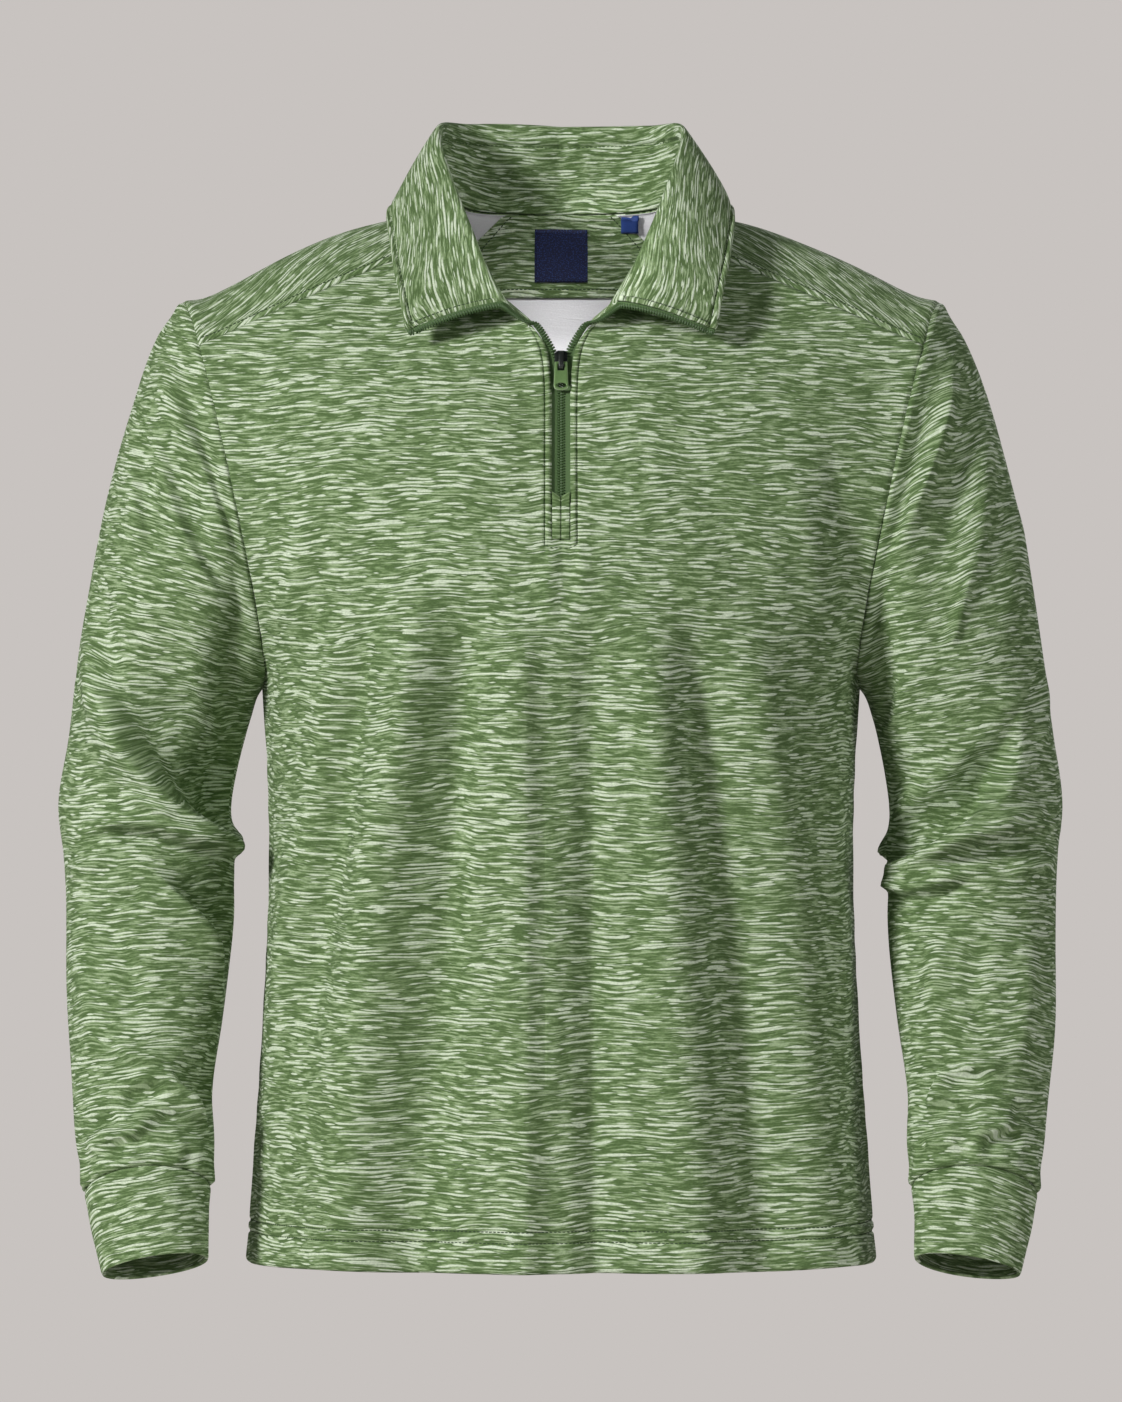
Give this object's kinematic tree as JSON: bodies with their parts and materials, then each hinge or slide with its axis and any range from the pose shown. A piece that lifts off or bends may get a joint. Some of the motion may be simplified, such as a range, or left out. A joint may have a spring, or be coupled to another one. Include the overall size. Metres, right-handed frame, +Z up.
{
  "type": "quarter zip sweater",
  "caption": "Long-sleeved space-dyed knit pullover with a fold-over collar and a short zip at the neck, hollow and open at the neck, hem and cuffs as when it is worn.",
  "frame": {"origin": "middle of the neck opening, level with the points where the shoulders meet the neck", "axes": "+Z up, -Y out of the front, +X towards the wearer's left"},
  "size_m": [0.6813, 0.2578, 0.7849],
  "materials": {
    "knit": "soft jersey knit, space-dyed in light, mid and dark green, white on the reverse of the panels",
    "zip_tape": "woven tape with moulded teeth in the same plain green",
    "navy_label": "plain navy woven label",
    "blue_label": "plain blue woven tab",
    "slider_metal": "dark gunmetal, semi-gloss",
    "pull_enamel": "green enamel, semi-gloss, with a worn bright edge"
  },
  "bodies": {
    "garment": {"front": "knit", "back": "knit", "sleeve_left": "knit", "sleeve_right": "knit", "cuff_left": "knit", "cuff_right": "knit", "collar": "knit", "locker_patch": "knit", "zip_end_left": "knit", "zip_end_right": "knit", "zip_tape_left": "zip_tape", "zip_tape_right": "zip_tape", "neck_label": "navy_label", "size_tab": "blue_label", "zip_slider": "slider_metal"},
    "pull_tab": {"pull_tab": "pull_enamel"}
  },
  "joints": [
    {"name": "pull_tab_hinge", "type": "hinge", "parent": "garment", "child": "pull_tab", "pos_m": [0, -0.09703, -0.1152], "axis": [-1, 0, 0], "range_deg": [0, 130]}
  ]
}
